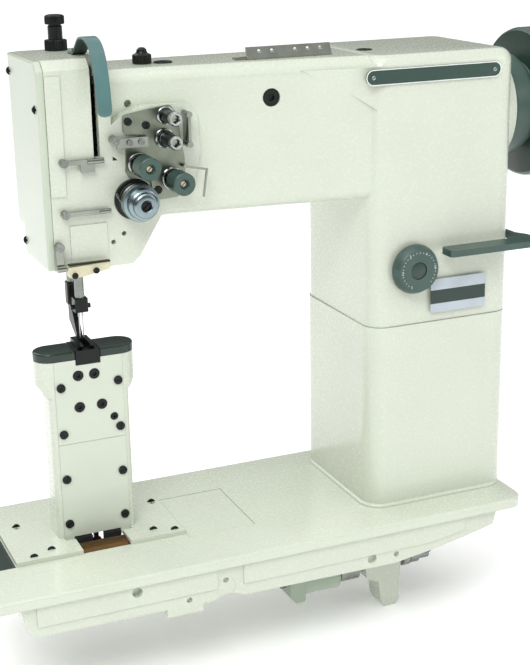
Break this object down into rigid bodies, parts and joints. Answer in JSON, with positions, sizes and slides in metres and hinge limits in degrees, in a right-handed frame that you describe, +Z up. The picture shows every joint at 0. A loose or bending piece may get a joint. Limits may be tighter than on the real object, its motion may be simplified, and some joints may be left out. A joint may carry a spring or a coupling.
{
  "type": "leather sewing machine",
  "caption": "Post-bed leather sewing machine head: flat bed, tall post with rotary hooks, riser column, arm with needle bar, tensions, handwheel and reverse lever.",
  "frame": {"origin": "on the needle axis, in the plane of the bed lip's underside where the head rests on its table", "axes": "+X from the needles to the handwheel, +Y to the back, +Z up along the needle"},
  "size_m": [0.6, 0.2, 0.584],
  "materials": {
    "casting_paint": "gloss cream hammered enamel",
    "green_casting": "satin grey-green enamel",
    "dark_plate": "dark green-black satin",
    "black_steel": "black oxide, oiled",
    "machined_steel": "ground steel",
    "chrome": "bright nickel and chrome",
    "tension_steel": "satin nickel plate",
    "teal": "grey-teal satin",
    "bronze": "oil-stained bronze",
    "ivory": "ivory enamel",
    "belt_rubber": "black rubber",
    "nameplate_green": "dark green enamel, blank"
  },
  "bodies": {
    "root": {"bed_casting": "casting_paint", "bed_slide_plate": "dark_plate", "bed_cover_plate": "casting_paint", "post_housing": "casting_paint", "post_front_cover_upper": "casting_paint", "post_front_cover_lower": "casting_paint", "post_rear_cover": "casting_paint", "post_screws": "black_steel", "throat_plate": "black_steel", "bobbin_cases": "machined_steel", "bushings": "bronze", "timing_belt": "belt_rubber", "shaft_housing": "green_casting", "bed_bracket": "casting_paint", "riser_column": "casting_paint", "arm_casting": "casting_paint", "face_plate": "casting_paint", "rear_cover": "casting_paint", "cover_screws": "black_steel", "presser_spring": "machined_steel", "pressure_lock_nut": "black_steel", "take_up_guard": "teal", "tension_plate": "tension_steel", "tension_studs": "chrome", "thread_guides": "chrome", "lower_guide_block": "ivory", "nameplate": "nameplate_green", "plugs": "black_steel"},
    "drive": {"main_shaft": "machined_steel", "take_up_crank": "machined_steel", "upper_pulley": "machined_steel", "handwheel": "teal"},
    "link": {"crank_link": "machined_steel"},
    "lower_drive": {"lower_shaft": "machined_steel", "bevel_gears": "machined_steel", "lower_pulley": "machined_steel"},
    "hook_l": {"hook_left": "machined_steel"},
    "hook_r": {"hook_right": "machined_steel"},
    "needle_frame": {"needle_bar_frame": "machined_steel"},
    "needle_group": {"needle_bar": "machined_steel", "needle_clamp": "machined_steel", "needles": "chrome"},
    "take_up": {"take_up_lever": "machined_steel"},
    "presser": {"presser_bar": "machined_steel", "presser_foot": "black_steel"},
    "lifter": {"hand_lifter": "machined_steel"},
    "pressure_adjuster": {"pressure_screw": "black_steel"},
    "feed": {"feed_rocker": "bronze", "feed_dog": "black_steel"},
    "regulator": {"regulator_shaft": "machined_steel"},
    "dial": {"stitch_dial": "teal"},
    "reverse": {"reverse_lever": "teal"},
    "knob_left": {"tension_knob_left": "teal"},
    "knob_right": {"tension_knob_right": "teal"},
    "nut_upper": {"pre_tension_nut_upper": "chrome"},
    "nut_lower": {"pre_tension_nut_lower": "chrome"},
    "check_regulator": {"check_spring_regulator": "chrome"},
    "thumb_knob": {"top_knob": "black_steel"},
    "cover_left": {"hook_cover_left": "dark_plate"},
    "cover_right": {"hook_cover_right": "dark_plate"}
  },
  "joints": [
    {"name": "main_shaft_turn", "type": "hinge", "parent": "root", "child": "drive", "pos_m": [0.43, 0, 0.372], "axis": [1, 0, 0], "continuous": true},
    {"name": "crank_link_turn", "type": "hinge", "parent": "drive", "child": "link", "pos_m": [0.0125, 0, 0.39], "axis": [1, 0, 0], "continuous": true},
    {"name": "lower_shaft_turn", "type": "hinge", "parent": "root", "child": "lower_drive", "pos_m": [0.15, 0, -0.057], "axis": [1, 0, 0], "continuous": true},
    {"name": "hook_left_turn", "type": "hinge", "parent": "root", "child": "hook_l", "pos_m": [-0.014, 0, 0.109], "axis": [0, 0, 1], "continuous": true},
    {"name": "hook_right_turn", "type": "hinge", "parent": "root", "child": "hook_r", "pos_m": [0.014, 0, 0.109], "axis": [0, 0, 1], "continuous": true},
    {"name": "needle_frame_rock", "type": "hinge", "parent": "root", "child": "needle_frame", "pos_m": [0, 0.012, 0.429], "axis": [1, 0, 0], "range_deg": [-0.56, 0.56]},
    {"name": "needle_bar_slide", "type": "slide", "parent": "needle_frame", "child": "needle_group", "axis": [0, 0, 1], "range_m": [-0.0265, 0.008]},
    {"name": "take_up_swing", "type": "hinge", "parent": "root", "child": "take_up", "pos_m": [0.0077, 0.005, 0.409], "axis": [1, 0, 0], "range_deg": [0, 52]},
    {"name": "presser_slide", "type": "slide", "parent": "root", "child": "presser", "axis": [0, 0, 1], "range_m": [0, 0.007], "stiffness_N_per_m": 10, "springref_m": 0.0945, "deforming": ["presser_spring"]},
    {"name": "hand_lifter_turn", "type": "hinge", "parent": "root", "child": "lifter", "pos_m": [-0.014, 0.05, 0.324], "axis": [0, -1, 0], "range_deg": [0, 70]},
    {"name": "pressure_screw_turn", "type": "hinge", "parent": "root", "child": "pressure_adjuster", "pos_m": [0, 0.028, 0.459], "axis": [0, 0, 1], "range_deg": [-720, 720]},
    {"name": "feed_rock", "type": "hinge", "parent": "root", "child": "feed", "pos_m": [0, -0.03, -0.0005], "axis": [-1, 0, 0], "range_deg": [-0.75, 0.75]},
    {"name": "regulator_rock", "type": "hinge", "parent": "root", "child": "regulator", "pos_m": [0.25, -0.04, -0.065], "axis": [1, 0, 0], "range_deg": [0, 10]},
    {"name": "stitch_dial_turn", "type": "hinge", "parent": "root", "child": "dial", "pos_m": [0.2938, -0.075, 0.241], "axis": [0, -1, 0], "range_deg": [-150, 150]},
    {"name": "reverse_lever_press", "type": "hinge", "parent": "root", "child": "reverse", "pos_m": [0.406, -0.022, 0.259], "axis": [1, 0, 0], "range_deg": [0, 20], "stiffness_Nm_per_rad": 2, "springref_deg": -17.19},
    {"name": "tension_knob_left_turn", "type": "hinge", "parent": "root", "child": "knob_left", "pos_m": [0.0425, -0.066, 0.357], "axis": [0, -1, 0], "range_deg": [-720, 720]},
    {"name": "tension_knob_right_turn", "type": "hinge", "parent": "root", "child": "knob_right", "pos_m": [0.0714, -0.066, 0.342], "axis": [0, -1, 0], "range_deg": [-720, 720]},
    {"name": "pre_tension_upper_turn", "type": "hinge", "parent": "root", "child": "nut_upper", "pos_m": [0.0672, -0.066, 0.3954], "axis": [0, -1, 0], "range_deg": [-720, 720]},
    {"name": "pre_tension_lower_turn", "type": "hinge", "parent": "root", "child": "nut_lower", "pos_m": [0.0656, -0.066, 0.3766], "axis": [0, -1, 0], "range_deg": [-720, 720]},
    {"name": "check_regulator_turn", "type": "hinge", "parent": "root", "child": "check_regulator", "pos_m": [0.0374, -0.06, 0.3274], "axis": [0, -1, 0], "range_deg": [-60, 10]},
    {"name": "top_knob_turn", "type": "hinge", "parent": "root", "child": "thumb_knob", "pos_m": [0.065, -0.006, 0.439], "axis": [0, 0, 1], "range_deg": [-720, 720]},
    {"name": "hook_cover_left_slide", "type": "slide", "parent": "root", "child": "cover_left", "axis": [-1, 0, 0], "range_m": [0, 0.022]},
    {"name": "hook_cover_right_slide", "type": "slide", "parent": "root", "child": "cover_right", "axis": [1, 0, 0], "range_m": [0, 0.022]}
  ],
  "couplings": [
    {"joint": "crank_link_turn", "follows": "main_shaft_turn", "ratio": -1},
    {"joint": "lower_shaft_turn", "follows": "main_shaft_turn", "ratio": 1},
    {"joint": "hook_left_turn", "follows": "main_shaft_turn", "ratio": 2},
    {"joint": "hook_right_turn", "follows": "main_shaft_turn", "ratio": -2},
    {"joint": "needle_frame_rock", "follows": "feed_rock", "ratio": 0.75},
    {"joint": "presser_slide", "follows": "hand_lifter_turn", "m_per_rad": 0.005724},
    {"joint": "regulator_rock", "follows": "reverse_lever_press", "ratio": 0.5}
  ]
}
